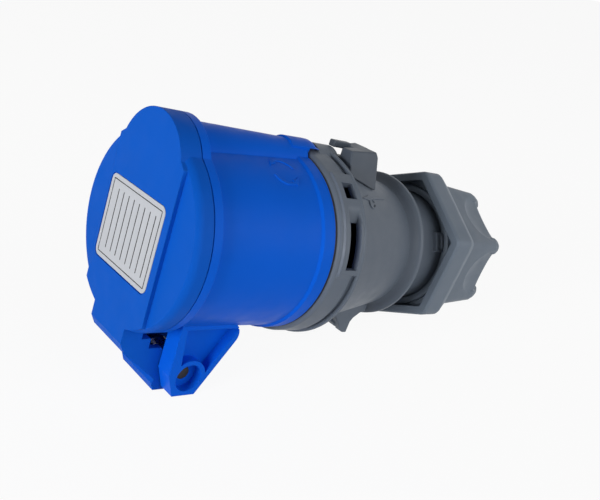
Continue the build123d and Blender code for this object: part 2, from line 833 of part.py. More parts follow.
# Gland nut: hexagon collar, shoulder and crown with six claws and thumb scoops
with BuildPart() as gland_nut:
    with BuildSketch(Plane.YZ.offset(nut_front)):
        add(nut_section(nut_collar_radius))
    extrude(amount=nut_collar_length)
    with BuildSketch(Plane.YZ.offset(shoulder_front)):
        add(nut_section(nut_collar_radius))
    with BuildSketch(Plane.YZ.offset(crown_front)):
        add(nut_section(nut_shoulder_radius))
    loft()
    with BuildSketch(Plane.YZ.offset(crown_front)):
        add(nut_section(nut_shoulder_radius))
    with BuildSketch(Plane.YZ.offset(claw_tip)):
        add(nut_section(nut_tip_radius))
    loft()
    # the crown's rear is cut back between the claws, and the claws slope inwards
    with BuildSketch(Plane.YZ.offset(crown_rear)):
        Circle(nut_collar_radius)
        with PolarLocations(0, 3, start_angle=nut_turn, angular_range=half_turn, endpoint=False):
            Rectangle(2 * nut_collar_radius, nut_claw_width, mode=Mode.SUBTRACT)
    extrude(amount=nut_claw_length, mode=Mode.SUBTRACT)
    with BuildSketch(Plane.XZ):
        Polygon(
            (crown_rear, 0),
            (crown_rear, claw_foot_radius),
            (claw_tip, claw_tip_inner),
            (claw_tip, 0),
            align=None,
        )
    revolve(axis=Axis.X, mode=Mode.SUBTRACT)
    scoop_x = crown_rear - scoop_back
    scoop_share = (scoop_x - crown_front) / nut_crown_length
    flat_radius = nut_shoulder_radius + scoop_share * (nut_tip_radius - nut_shoulder_radius)
    scoop_centre = flat_radius * math.cos(math.pi / 6) + scoop_radius - scoop_cut
    scoops = [on_circle(scoop_centre, half_turn - nut_turn - 30.0 + 60.0 * n, scoop_x) for n in range(6)]
    with Locations(*scoops):
        Sphere(scoop_radius, mode=Mode.SUBTRACT)
    # mouth, thread, seat for the cage and cable hole
    with BuildSketch(Plane.XZ):
        Polygon(
            (nut_front, 0),
            (nut_front, nut_mouth_radius),
            (nut_front + nut_mouth_depth, nut_mouth_radius),
            (nut_front + nut_mouth_depth, neck_radius + thread_clearance),
            (thread_end, neck_radius + thread_clearance),
            (thread_end, seat_radius),
            (seat_cone_front, seat_radius),
            (seat_cone_rear, seat_cone_radius + running_gap),
            (seat_cone_rear, cable_hole),
            (claw_tip, cable_hole),
            (claw_tip, 0),
            align=None,
        )
    revolve(axis=Axis.X, mode=Mode.SUBTRACT)

# Resting place: the rounded foot and the nut's lowest ridge stand on one ground line
corner_cut = nut_corner * (1 / math.cos(math.pi / 6) - 1)
low_corner = math.cos(math.radians(nut_turn + 240.0 - 270.0))
ridge = [
    (shoulder_front, (nut_collar_radius - corner_cut) * low_corner),
    (claw_tip, (nut_tip_radius - corner_cut) * low_corner),
]
foot_slope = math.atan2(foot_depth - cheek_top, cheek_front + bracket_length - foot_rear)
foot_x = foot_rear - foot_rounding * math.tan(foot_slope / 2)
foot_z = foot_depth - foot_rounding
rest_angle = min(
    math.atan2(foot_z - depth, x - foot_x)
    + math.asin(foot_rounding / math.hypot(x - foot_x, foot_z - depth))
    for x, depth in ridge
)
foot_height = foot_z * math.cos(rest_angle) + foot_x * math.sin(rest_angle) + foot_rounding
front_reach = -arm_front_bottom * math.sin(rest_angle)
rear_reach = claw_tip * math.cos(rest_angle) + nut_tip_radius * math.sin(rest_angle)
resting_place = Location((-(front_reach + rear_reach) / 2, 0, foot_height)) * Location(
    (0, 0, 0), (0, math.degrees(rest_angle), 0)
)

# Labels and files
front_housing.part.label = "front_housing"
lid.part.label = "lid"
rating_label.part.label = "rating_label"
lid_seal.part.label = "lid_seal"
hinge_pin.part.label = "hinge_pin"
hinge_spring.part.label = "hinge_spring"
contact_carrier.part.label = "contact_carrier"
contact_springs.part.label = "contact_springs"
carrier_screws.part.label = "carrier_screws"
body_seal.part.label = "body_seal"
rear_housing.part.label = "rear_housing"
lock_slide.part.label = "lock_slide"
gland_cage.part.label = "gland_cage"
gland_seal.part.label = "gland_seal"
slip_ring.part.label = "slip_ring"
gland_nut.part.label = "gland_nut"

pieces = [
    front_housing,
    lid,
    rating_label,
    lid_seal,
    hinge_pin,
    hinge_spring,
    contact_carrier,
    contact_springs,
    carrier_screws,
    body_seal,
    rear_housing,
    lock_slide,
    gland_cage,
    gland_seal,
    slip_ring,
    gland_nut,
    *contacts.values(),
    *terminal_screws.values(),
]
os.makedirs("parts", exist_ok=True)
for piece in pieces:
    piece.part.move(resting_place)
    export_step(piece.part, "parts/" + piece.part.label + ".step")
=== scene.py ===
import json
import math

import bmesh
import bpy
import numpy as np
from mathutils import Matrix, Vector


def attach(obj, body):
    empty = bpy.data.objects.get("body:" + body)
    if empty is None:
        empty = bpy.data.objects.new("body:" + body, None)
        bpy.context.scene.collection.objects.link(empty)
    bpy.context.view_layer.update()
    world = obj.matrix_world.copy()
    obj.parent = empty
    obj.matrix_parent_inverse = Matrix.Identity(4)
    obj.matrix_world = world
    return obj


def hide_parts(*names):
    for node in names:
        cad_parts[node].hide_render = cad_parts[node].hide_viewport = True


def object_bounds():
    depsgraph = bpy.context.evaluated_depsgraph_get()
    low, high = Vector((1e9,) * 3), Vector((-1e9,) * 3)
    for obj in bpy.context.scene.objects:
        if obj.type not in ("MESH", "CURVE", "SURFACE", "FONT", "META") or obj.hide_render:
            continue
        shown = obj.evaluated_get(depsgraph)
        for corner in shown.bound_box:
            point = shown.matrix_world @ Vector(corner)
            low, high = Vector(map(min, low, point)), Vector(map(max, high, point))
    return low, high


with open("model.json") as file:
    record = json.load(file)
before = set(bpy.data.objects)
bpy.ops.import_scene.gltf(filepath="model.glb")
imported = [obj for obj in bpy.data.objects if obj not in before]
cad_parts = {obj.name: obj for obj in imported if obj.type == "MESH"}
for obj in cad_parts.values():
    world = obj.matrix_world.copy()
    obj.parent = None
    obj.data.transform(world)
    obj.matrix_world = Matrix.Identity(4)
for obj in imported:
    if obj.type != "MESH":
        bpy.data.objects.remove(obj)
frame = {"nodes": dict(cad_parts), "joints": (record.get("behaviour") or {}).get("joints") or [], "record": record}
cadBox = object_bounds()
print("packed coupler loaded")

# The coupler's own axes, read from its joints: X runs from the lid's face to the gland nut, Z points
# to the keyway. Lengths below are in millimetres on these axes unless a name says otherwise.
mm = 0.001
joints = {joint["name"]: joint for joint in frame["joints"]}
twistPlace = 53.0  # the bayonet joint's place along the coupler
alongAxis = Vector(joints["bayonet_twist"]["axis"]).normalized()
acrossAxis = Vector((0.0, 1.0, 0.0))
keywayAxis = alongAxis.cross(acrossAxis)
coupler = Matrix((alongAxis, acrossAxis, keywayAxis)).transposed().to_4x4()
coupler.translation = Vector(joints["bayonet_twist"]["pos_m"]) - twistPlace * mm * alongAxis


def placeOf(point):
    # millimetres on the coupler's axes, turned and moved into the frame's metres
    return coupler @ (Vector(point) * mm)


# Camera: where the photograph was taken from, measured on the coupler's own axes
photo = {
    "width": 600,  # pixels
    "focalPixels": 750.6,
    "cameraPlace": (-101.15, -159.63, 59.46),
    "lookAlong": (0.6877, 0.6743, -0.2689),
    "rightHand": (0.7253, -0.6218, 0.2955),
    "sensorWidth": 36.0,
    "nearest": 0.01,  # metres; nothing closer is drawn
}


def addCamera():
    # looks along one direction; up is square to it and to the right hand
    look = (coupler.to_3x3() @ Vector(photo["lookAlong"])).normalized()
    right = coupler.to_3x3() @ Vector(photo["rightHand"])
    right = (right - right.dot(look) * look).normalized()
    up = right.cross(look)
    data = bpy.data.cameras.new("photoCamera")
    data.sensor_width = photo["sensorWidth"]
    data.lens = photo["focalPixels"] / photo["width"] * photo["sensorWidth"]
    data.clip_start = photo["nearest"]
    camera = bpy.data.objects.new("photoCamera", data)
    turn = Matrix((right, up, -look)).transposed().to_4x4()
    camera.matrix_world = Matrix.Translation(placeOf(photo["cameraPlace"])) @ turn
    bpy.context.collection.objects.link(camera)
    bpy.context.scene.camera = camera


addCamera()
print("camera placed")

# Floor, world and lamps. Places are in metres from the coupler's middle, on its own axes
studio = {
    "floorRadius": 6.0,
    "floorGrey": 0.93,
    "floorGlow": 0.93,  # how much of the floor that the camera sees is plain white
    "skyLight": 0.12,
    "frontLamp": {"place": (-0.9, -0.16, 0.04), "size": 0.36, "strength": 5.6},
    "sideLamp": {"place": (0.42, -1.0, 0.2), "size": 1.5, "strength": 11.5},
}


def nodesOf(material):
    # an empty node tree, ready to be filled
    material.use_nodes = True
    material.node_tree.nodes.clear()
    return material.node_tree.nodes, material.node_tree.links


def seenDirectly(nodes, links):
    # 1 where the camera, a mirror or glass looks at it, 0 where it lights something
    rays = nodes.new("ShaderNodeLightPath")
    total = rays.outputs["Is Camera Ray"]
    for kind in ("Is Glossy Ray", "Is Transmission Ray"):
        larger = nodes.new("ShaderNodeMath")
        larger.operation = "MAXIMUM"
        links.new(total, larger.inputs[0])
        links.new(rays.outputs[kind], larger.inputs[1])
        total = larger.outputs[0]
    return total


def addFloor():
    # a square at the lowest point: paint that takes the shadow, mixed with white for what looks at it
    radius = studio["floorRadius"]
    mesh = bpy.data.meshes.new("floor")
    low = min(0, cadBox[0].z)
    corners = np.array(((-1, -1, 0), (1, -1, 0), (1, 1, 0), (-1, 1, 0))) * radius + (0, 0, low)
    mesh.from_pydata(corners.tolist(), [], [(0, 1, 2, 3)])
    floor = bpy.data.objects.new("floor", mesh)
    bpy.context.collection.objects.link(floor)
    material = bpy.data.materials.new("paleFloor")
    nodes, links = nodesOf(material)
    output = nodes.new("ShaderNodeOutputMaterial")
    paint = nodes.new("ShaderNodeBsdfDiffuse")
    grey = studio["floorGrey"]
    paint.inputs["Color"].default_value = (grey, grey, grey, 1)
    glow = nodes.new("ShaderNodeEmission")
    share = nodes.new("ShaderNodeMath")
    share.operation = "MULTIPLY"
    share.inputs[1].default_value = studio["floorGlow"]
    mix = nodes.new("ShaderNodeMixShader")
    links.new(seenDirectly(nodes, links), share.inputs[0])
    links.new(share.outputs[0], mix.inputs["Fac"])
    links.new(paint.outputs["BSDF"], mix.inputs[1])
    links.new(glow.outputs["Emission"], mix.inputs[2])
    links.new(mix.outputs["Shader"], output.inputs["Surface"])
    mesh.materials.append(material)


def addLamp(name, lamp, middle):
    # a round area lamp, turned to face the coupler's middle
    data = bpy.data.lights.new(name, "AREA")
    data.shape = "DISK"
    data.size = lamp["size"]
    data.energy = lamp["strength"]
    light = bpy.data.objects.new(name, data)
    light.location = middle + coupler.to_3x3() @ Vector(lamp["place"])
    light.rotation_euler = (middle - light.location).to_track_quat("-Z", "Y").to_euler()
    bpy.context.collection.objects.link(light)


def addWorld():
    # a dim white sky for the light, a full white one for the camera, mirrors and glass
    world = bpy.data.worlds.new("studioWorld")
    bpy.context.scene.world = world
    nodes, links = nodesOf(world)
    output = nodes.new("ShaderNodeOutputWorld")
    lightSky = nodes.new("ShaderNodeBackground")
    lightSky.inputs["Color"].default_value = (1, 1, 1, 1)
    lightSky.inputs["Strength"].default_value = studio["skyLight"]
    seenSky = nodes.new("ShaderNodeBackground")
    seenSky.inputs["Color"].default_value = (1, 1, 1, 1)
    mix = nodes.new("ShaderNodeMixShader")
    links.new(seenDirectly(nodes, links), mix.inputs["Fac"])
    links.new(lightSky.outputs["Background"], mix.inputs[1])
    links.new(seenSky.outputs["Background"], mix.inputs[2])
    links.new(mix.outputs["Shader"], output.inputs["Surface"])


middle = (cadBox[0] + cadBox[1]) / 2
addFloor()
addWorld()
addLamp("frontLamp", studio["frontLamp"], middle)
addLamp("sideLamp", studio["sideLamp"], middle)
bpy.context.scene.view_settings.view_transform = "Standard"
print("studio lit")


# Materials. A colour is given as it shows on a screen, 0 to 255
finishes = {
    "housing_blue": {
        "colour": (8, 94, 214), "gloss": 0.05, "roughness": 0.4,
        "grain": 0.1, "edge": 0.3, "highlightTint": 1.16
    },
    "lid_blue": {
        "colour": (10, 88, 194), "gloss": 0.05, "roughness": 0.5,
        "grain": 0.22, "edge": 0.3, "highlightTint": 1.12
    },
    "label_silver": {
        "colour": (192, 195, 201), "roughness": 0.38, "spread": 0.015,
        "grain": 0.03, "edge": 0.1
    },
    "seal_black": {
        "colour": (26, 26, 28), "roughness": 0.62, "spread": 0.12,
        "grain": 0.3, "edge": 0.2
    },
    # darkened steel: painted shade, set to the black of the hinge pin's deep hole; the carrier screws share it
    "plated_steel": {
        "colour": (66, 64, 62), "roughness": 0.45, "metal": 1.0, "brushed": 26.0, "edge": 0.1
    },
    "spring_steel": {
        "colour": (176, 178, 180), "roughness": 0.26, "metal": 1.0, "brushed": 18.0, "edge": 0.1
    },
    "carrier_grey": {
        "colour": (66, 69, 76), "roughness": 0.48, "edge": 0.2, "highlightTint": 1.2
    },
    "contact_brass": {
        "colour": (214, 178, 104), "roughness": 0.28, "metal": 1.0, "brushed": 30.0, "edge": 0.1
    },
    "housing_grey": {
        "colour": (96, 105, 117), "gloss": 0.2, "roughness": 0.44,
        "grain": 0.16, "edge": 0.3, "highlightTint": 1.25
    },
    # a darker copy of housing_grey: painted shade, set to the shade on the lock slide's leaning near face
    "lock_grey": {
        "colour": (74, 82, 93), "gloss": 0.2, "roughness": 0.44,
        "grain": 0.16, "edge": 0.3, "highlightTint": 1.25
    },
    "cage_grey": {
        "colour": (70, 74, 80), "roughness": 0.48, "edge": 0.2
    },
    "slip_white": {
        "colour": (205, 205, 200), "roughness": 0.42,
        "grain": 0.05, "edge": 0.2
    },
    "nut_grey": {
        "colour": (106, 117, 130), "gloss": 0.2, "roughness": 0.46,
        "grain": 0.18, "edge": 0.35, "highlightTint": 1.25
    },
}
surface = {  # what a finish has unless it says otherwise, and what all of them share
    "spread": 0.05,  # of the two tints, to each side
    # the next two: how much lighter the painted edge highlight makes a colour, and its brightest
    "highlightTint": 1.1,
    "brightestEdge": 0.9,
    "metal": 0.0,
    "gloss": 0.35,
    "grain": 0.08,
    "grainDepth": 0.00006,  # metres
    "cloudScale": 70.0,
    "cloudDetail": 3.0,
    "grainScale": 2600.0,
    "brushedScale": 90.0,
    "grainDetail": 2.0,
    "markScale": 240.0,
    "markDetail": 4.0,
    "roughnessSwing": 0.07,
    "markRange": (0.3, 0.7),
    "highlightRange": (0.86, 0.99),  # agreement of the rounded normal with the true one, over which the painted edge highlight fades in
    "edgeSamples": 4,
}


def ownPoints(node):
    # a CAD node's points in millimetres on the coupler's own axes
    mesh = frame["nodes"][node].data
    points = np.empty(len(mesh.vertices) * 3)
    mesh.vertices.foreach_get("co", points)
    return (points.reshape(-1, 3) - np.array(coupler.translation)) @ np.array(coupler.to_3x3()) / mm


def linear(colour):
    # the screen's tone curve undone: a straight foot, then a power of 2.4
    share = np.array(colour) / 255
    return np.where(share <= 0.04045, share / 12.92, ((share + 0.055) / 1.055) ** 2.4)


def noise(nodes, links, place, scale, detail, stretch=None):
    # a noise on object coordinates; stretch turns it onto the coupler's axis and draws it out along it
    pattern = nodes.new("ShaderNodeTexNoise")
    pattern.inputs["Scale"].default_value = scale
    pattern.inputs["Detail"].default_value = detail
    if stretch:
        turn = nodes.new("ShaderNodeMapping")
        turn.inputs["Rotation"].default_value = (0, -coupler.to_euler().y, 0)
        turn.inputs["Scale"].default_value = stretch
        links.new(place, turn.inputs["Vector"])
        place = turn.outputs["Vector"]
    links.new(place, pattern.inputs["Vector"])
    return pattern.outputs["Fac"]


def ranged(nodes, links, value, low, high, start, end):
    # start to end becomes low to high
    spread = nodes.new("ShaderNodeMapRange")
    spread.inputs["From Min"].default_value = start
    spread.inputs["From Max"].default_value = end
    spread.inputs["To Min"].default_value = low
    spread.inputs["To Max"].default_value = high
    links.new(value, spread.inputs["Value"])
    return spread.outputs["Result"]


def finish(name, look):
    # Two close tints mixed by a broad cloud, a painted highlight that makes edges lighter where the rounded
    # normal leaves the true one, a spark-eroded or brushed grain in the bump, and handling marks that vary the
    # roughness
    material = bpy.data.materials.new(name)
    nodes, links = nodesOf(material)
    output = nodes.new("ShaderNodeOutputMaterial")
    shader = nodes.new("ShaderNodeBsdfPrincipled")
    place = nodes.new("ShaderNodeTexCoord").outputs["Object"]
    tone = linear(look["colour"])
    look = {**surface, **look}
    spread = look["spread"]
    cloud = noise(nodes, links, place, look["cloudScale"], look["cloudDetail"])
    tint = nodes.new("ShaderNodeMix")
    tint.data_type = "RGBA"
    tint.inputs["A"].default_value = (*(tone * (1 - spread)), 1)
    tint.inputs["B"].default_value = (*(tone * (1 + spread)), 1)
    links.new(cloud, tint.inputs["Factor"])
    rounded = nodes.new("ShaderNodeBevel")
    rounded.samples = look["edgeSamples"]
    rounded.inputs["Radius"].default_value = look["edge"] * mm
    facing = nodes.new("ShaderNodeNewGeometry")
    along = nodes.new("ShaderNodeVectorMath")
    along.operation = "DOT_PRODUCT"
    links.new(rounded.outputs["Normal"], along.inputs[0])
    links.new(facing.outputs["Normal"], along.inputs[1])
    # painted highlight: the colour is made lighter along rounded edges, where light would catch them
    paintedHighlight = nodes.new("ShaderNodeMix")
    paintedHighlight.data_type = "RGBA"
    paintedHighlight.inputs["B"].default_value = (*np.minimum(tone * look["highlightTint"], look["brightestEdge"]), 1)
    share = ranged(nodes, links, along.outputs["Value"], 1.0, 0.0, *look["highlightRange"])
    links.new(share, paintedHighlight.inputs["Factor"])
    links.new(tint.outputs["Result"], paintedHighlight.inputs["A"])
    links.new(paintedHighlight.outputs["Result"], shader.inputs["Base Color"])
    brushed = look.get("brushed")
    stretch = (1.0, brushed, brushed) if brushed else None
    grainScale = look["brushedScale"] if brushed else look["grainScale"]
    grain = noise(nodes, links, place, grainScale, look["grainDetail"], stretch)
    marks = noise(nodes, links, place, look["markScale"], look["markDetail"])
    roughness, swing = look["roughness"], look["roughnessSwing"]
    varied = ranged(nodes, links, marks, roughness - swing, roughness + swing, *look["markRange"])
    links.new(varied, shader.inputs["Roughness"])
    bump = nodes.new("ShaderNodeBump")
    bump.inputs["Strength"].default_value = look["grain"]
    bump.inputs["Distance"].default_value = look["grainDepth"]
    links.new(grain, bump.inputs["Height"])
    links.new(rounded.outputs["Normal"], bump.inputs["Normal"])
    links.new(bump.outputs["Normal"], shader.inputs["Normal"])
    shader.inputs["Metallic"].default_value = look["metal"]
    shader.inputs["Specular IOR Level"].default_value = look["gloss"]
    links.new(shader.outputs["BSDF"], output.inputs["Surface"])
    return material


materials = {name: finish(name, look) for name, look in finishes.items()}
slotOf = {entry["node"]: entry["material_slot"] for entry in frame["record"]["subparts"]}
for name, node in frame["nodes"].items():
    node.data.materials.clear()
    node.data.materials.append(materials[slotOf[name]])
print("finishes made")


# New pieces: shells and solids worked out on grids of points, on the coupler's own axes
sharpFrom = 40  # degrees; softer edges are shaded smooth


def shellOf(outer, inner, keep):
    # A wall between two surfaces: row i is a station, column j a place round the axis. Cells that keep
    # leaves out are openings, and every edge of the wall gets a face of its own
    rows, columns = outer.shape[:2]
    index = np.arange(rows * columns).reshape(rows, columns)
    deep = index + rows * columns
    faces = []
    for grid in (index, deep):
        after = np.roll(grid, -1, axis=1)
        faces.append(np.stack((grid[:-1], after[:-1], after[1:], grid[1:]), axis=-1)[keep])
    edge = np.zeros((1, columns), bool)
    above, below = np.concatenate((edge, keep)), np.concatenate((keep, edge))
    ends = above != below
    faces.append(np.stack((index, np.roll(index, -1, 1), np.roll(deep, -1, 1), deep), axis=-1)[ends])
    sides = keep != np.roll(keep, 1, axis=1)
    faces.append(np.stack((index[:-1], index[1:], deep[1:], deep[:-1]), axis=-1)[sides])
    return np.concatenate((outer.reshape(-1, 3), inner.reshape(-1, 3))), np.concatenate(faces).tolist()


def solidOf(loft):
    # A closed solid: row i is a section, column j a place round it, and both ends are capped
    rows, columns = loft.shape[:2]
    index = np.arange(rows * columns).reshape(rows, columns)
    after = np.roll(index, -1, axis=1)
    quads = np.stack((index[:-1], after[:-1], after[1:], index[1:]), axis=-1).reshape(-1, 4)
    return loft.reshape(-1, 3), quads.tolist() + [index[0].tolist(), index[-1].tolist()]


def ringOf(profile, columns):
    # A closed solid of revolution: the profile's points are (station, radius), in order round it
    profile = np.asarray(profile, float)
    loft = onAxis(profile[:, :1], np.linspace(0, 360, columns, endpoint=False)[None], profile[:, 1:])
    index = np.arange(loft.shape[0] * columns).reshape(-1, columns)
    down = np.roll(index, -1, axis=0)
    quads = np.stack((index, np.roll(index, -1, 1), np.roll(down, -1, 1), down), axis=-1)
    return loft.reshape(-1, 3), quads.reshape(-1, 4).tolist()


def onAxis(station, angle, radius):
    # points from station, angle in degrees from the near side towards the keyway, and radius
    station, angle, radius = np.broadcast_arrays(station, np.radians(angle), radius)
    return np.stack((station, -radius * np.cos(angle), radius * np.sin(angle)), axis=-1)


def addSolids(name, lofts, body, slot):
    # one piece from several closed solids
    return addPiece(name, [solidOf(loft) for loft in lofts], body, slot)


def addPiece(name, parts, body, slot):
    # parts are (points, faces) in millimetres. They become one mesh in the frame's metres, with loose
    # points dropped and every face turned outwards, that moves with its body
    corners, faces, start = [], [], 0
    for points, cells in parts:
        faces += [[corner + start for corner in cell] for cell in cells]
        corners.append(points)
        start += len(points)
    turned = np.concatenate(corners) * mm @ np.array(coupler.to_3x3()).T + np.array(coupler.translation)
    mesh = bpy.data.meshes.new(name)
    mesh.from_pydata(turned.tolist(), [], faces)
    shell = bmesh.new()
    shell.from_mesh(mesh)
    loose = [corner for corner in shell.verts if not corner.link_faces]
    bmesh.ops.delete(shell, geom=loose, context="VERTS")
    bmesh.ops.recalc_face_normals(shell, faces=shell.faces)
    shell.to_mesh(mesh)
    shell.free()
    mesh.shade_smooth()
    mesh.set_sharp_from_angle(angle=math.radians(sharpFrom))
    mesh.materials.append(materials[slot])
    piece = bpy.data.objects.new(name, mesh)
    bpy.context.collection.objects.link(piece)
    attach(piece, body)
    return piece


strandDome = {"points": 9, "power": 4}  # points over the top; a higher power makes it flatter


def strand(path, halfWidth, height, sink, radiusAt):
    # A raised strand on a round surface. The path is in millimetres: station, and distance round the
    # axis from the near side. Its section is a flat dome, sunk at both feet, and its half width may
    # change along the path
    path = np.asarray(path, float)
    heading = np.gradient(path, axis=0)
    heading /= np.linalg.norm(heading, axis=1)[:, None]
    side = np.stack((-heading[:, 1], heading[:, 0]), axis=1)
    across = np.linspace(-1, 1, strandDome["points"])
    dome = height * np.sqrt(np.clip(1 - across ** strandDome["power"], 0, 1)) - sink
    back = across[-2:0:-1]
    across = np.concatenate((across, back))
    lift = np.concatenate((dome, np.full(len(back), -2 * sink)))
    width = np.broadcast_to(halfWidth, len(path))
    flat = path[:, None, :] + side[:, None, :] * (across[None, :] * width[:, None])[:, :, None]
    station = flat[:, :, 0]
    base = radiusAt(station)
    angle = flat[:, :, 1] / base
    radius = base + lift[None, :]
    return np.stack((station, -radius * np.cos(angle), radius * np.sin(angle)), axis=-1)


def arrowWidth(points, look):
    # half width along an arrow: even, then it jumps to the head's and falls evenly to the tip's
    share = np.linspace(0, 1, points)
    taper = (1 - share) / look["headShare"]
    head = np.maximum(look["headWidth"] * taper, look["tipWidth"])
    return np.where(share >= 1 - look["headShare"], head, look["halfWidth"])


tube = {"front": 9.0, "rear": 42.9, "frontRadius": 26.0, "rearRadius": 26.5}
cone = {"front": 58.4, "rear": 88.0, "frontRadius": 26.8, "rearRadius": 21.0}


def taperOf(look, station):
    # a radius that changes evenly from the front station to the rear one
    share = (station - look["front"]) / (look["rear"] - look["front"])
    return look["frontRadius"] + (look["rearRadius"] - look["frontRadius"]) * share


def bodyRadius(station):
    # of the front housing's tube
    return taperOf(tube, station)


def coneRadius(station):
    # of the rear housing's cone
    return taperOf(cone, station)


turnMark = {
    "station": 34.0,
    "angle": 62.0,  # degrees from the near side towards the keyway
    "radius": 4.3,
    "begins": (20.0, 200.0),  # where each arrow starts on the circle, in degrees
    "sweep": 138.0,
    "points": 40,
    "halfWidth": 0.55,
    "headWidth": 1.35,
    "headShare": 0.3,  # of the arrow's length
    "tipWidth": 0.06,
    "height": 0.42,
    "sink": 0.12,
}
lockMark = {
    "front": 62.6,
    "rear": 76.0,
    "anchor": 69.0,  # the station at which the angle is measured
    "angle": 52.0,
    "points": 36,
    "ringStation": 67.6,
    "ringAngle": 47.2,
    "ringRadius": 1.5,
    "ringGap": 0.3,  # radians, on each side of the ring's opening
    "ringPoints": 32,
    "halfWidth": 0.34,
    "headWidth": 1.15,
    "headShare": 0.3,
    "tipWidth": 0.06,
    "height": 0.45,
    "sink": 0.1,
}


def circleOn(radiusAt, station, angle, radius, sweep):
    # points round a circle drawn on a round surface: station, and distance round the axis
    around = math.radians(angle) * radiusAt(station)
    return np.stack((station + radius * np.cos(sweep), around + radius * np.sin(sweep)), axis=1)


def addTurnMark():
    # two arrows that chase each other round a circle: a plain sign for twisting
    look = turnMark
    arrows = []
    for begin in look["begins"]:
        sweep = np.radians(np.linspace(begin, begin + look["sweep"], look["points"]))
        line = circleOn(bodyRadius, look["station"], look["angle"], look["radius"], sweep)
        arrows.append(strand(line, arrowWidth(len(line), look), look["height"], look["sink"], bodyRadius))
    addSolids("turn_mark", arrows, "coupler_body", "housing_blue")


def addLockMark():
    # an arrow along the cone with a small ring beside it
    look = lockMark
    height, sink = look["height"], look["sink"]
    stations = np.linspace(look["rear"], look["front"], look["points"])
    around = math.radians(look["angle"]) * coneRadius(look["anchor"])
    line = np.stack((stations, np.full(look["points"], around)), axis=1)
    arrow = strand(line, arrowWidth(len(line), look), height, sink, coneRadius)
    sweep = np.linspace(look["ringGap"], 2 * math.pi - look["ringGap"], look["ringPoints"])
    path = circleOn(coneRadius, look["ringStation"], look["ringAngle"], look["ringRadius"], sweep)
    ring = strand(path, look["halfWidth"], height, sink, coneRadius)
    addSolids("lock_mark", [arrow, ring], "rear_body", "housing_grey")


addTurnMark()
addLockMark()
print("marks raised")


# Plain ruled lines on the label, in place of print
labelRules = {
    "proud": 0.05,  # in front of the label
    "thickness": 0.08,
    "centre": (0.9, -1.5),  # across, up
    "frame": (12.6, 10.4),  # half width, half height
    "frameHalfWidth": 0.12,
    "frameRounding": 0.5,  # of the half width
    "firstLine": -10.4,
    "lastLine": 9.2,
    "lines": 8,
    "lineReach": 8.4,
    "lineHalfWidth": 0.14,
    "lineRounding": 0.6,
    "cornerPoints": 24,
}


def bar(front, low, high, rounding):
    # a thin bar between two corners across and up: a circle's points, moved out to the four corners
    points = labelRules["cornerPoints"]
    sweep = np.linspace(0, 2 * math.pi, points, endpoint=False) + math.pi / points
    centre = (np.array(low) + high) / 2
    half = (np.array(high) - low) / 2 - rounding
    outline = np.stack((np.cos(sweep), np.sin(sweep)), axis=1)
    outline = centre + np.sign(outline) * half + outline * rounding
    face = np.insert(outline, 0, front, axis=1)
    back = np.insert(outline, 0, front + labelRules["thickness"], axis=1)
    return np.stack((face, back))


def addLabelRules():
    # even upright lines inside a thin frame
    look = labelRules
    front = ownPoints("rating_label")[:, 0].min() - look["proud"]
    centre = np.array(look["centre"])
    half, reach = look["lineHalfWidth"], look["lineReach"]
    rounding = half * look["lineRounding"]
    bars = []
    for across in np.linspace(look["firstLine"], look["lastLine"], look["lines"]):
        bars.append(bar(front, centre + (across - half, -reach), centre + (across + half, reach), rounding))
    wide, tall = look["frame"]
    edge = look["frameHalfWidth"]
    rounding = edge * look["frameRounding"]
    for side in (-1, 1):
        upright = centre + (side * wide, 0)
        level = centre + (0, side * tall)
        bars.append(bar(front, upright - (edge, tall), upright + (edge, tall), rounding))
        bars.append(bar(front, level - (wide, edge), level + (wide, edge), rounding))
    addSolids("label_rules", bars, "lid_body", "seal_black")


addLabelRules()
print("label ruled")


# Gland nut: a hexagon with rounded corners whose size changes along the axis, and a scoop in each flat
glandNut = {
    "cornerAngle": 23.3,  # one corner, from the near side towards the keyway
    "cornerRounding": 3.0,
    "stations": (104.9, 105.3, 106.0, 112.4, 113.6, 115.2, 117.4, 119.6, 136.2, 136.7, 137.0),
    "corners": (27.7, 28.1, 28.3, 28.3, 27.85, 26.9, 25.65, 24.4, 23.05, 22.8, 22.4),
    "pocketWall": 2.4,
    "pocketRounding": 1.2,
    "pocketRear": 109.9,
    "boreStations": (109.92, 119.0, 119.02, 121.0, 129.0, 129.02, 137.0),
    "boreRadii": (19.15, 19.15, 16.2, 16.2, 11.3, 9.6, 9.6),
    "sleeve": ((107.9, 19.2), (107.9, 20.9), (108.2, 21.3), (110.2, 21.3), (110.2, 19.2)),
    "scoopFront": 119.6,
    "scoopStation": 137.1,
    "scoopDepth": 1.9,
    "scoopLength": 12.4,
    "scoopWidth": 9.4,
    "bulge": 1.9,
    "bulgeFront": 129.5,
    "scoopPower": 0.6,  # lower makes the scoop's rim crisper
    "columns": 288,
    "sleeveColumns": 96,
    "rowStep": 0.35,
    "clawStations": (129.0, 132.5, 135.5, 137.4, 138.6, 139.8, 140.9, 141.9, 142.7, 143.3, 143.6),
    "clawTops": (21.6, 22.1, 22.35, 22.2, 21.9, 21.35, 20.6, 19.75, 19.0, 18.35, 17.9),
    "clawDepths": (5.6, 6.2, 6.0, 4.8, 3.8, 3.0, 2.4, 1.9, 1.6, 1.25, 0.8),
    "clawHalfWidths": (1.6, 2.4, 3.1, 2.8, 2.15, 1.65, 1.3, 1.1, 0.95, 0.8, 0.5),
    "clawKeel": 1.0,  # rounding of the ridge along its top
    "clawPoints": 13,  # over its top, and again under it
    "clawBelly": 0.7,  # lower makes the underside squarer
}


def rowsOf(stations, step):
    # the given stations with even rows between them, none further apart than step
    pieces = [
        np.linspace(low, high, max(1, math.ceil((high - low) / step)), endpoint=False)
        for low, high in zip(stations[:-1], stations[1:])
    ]
    return np.concatenate((*pieces, stations[-1:]))


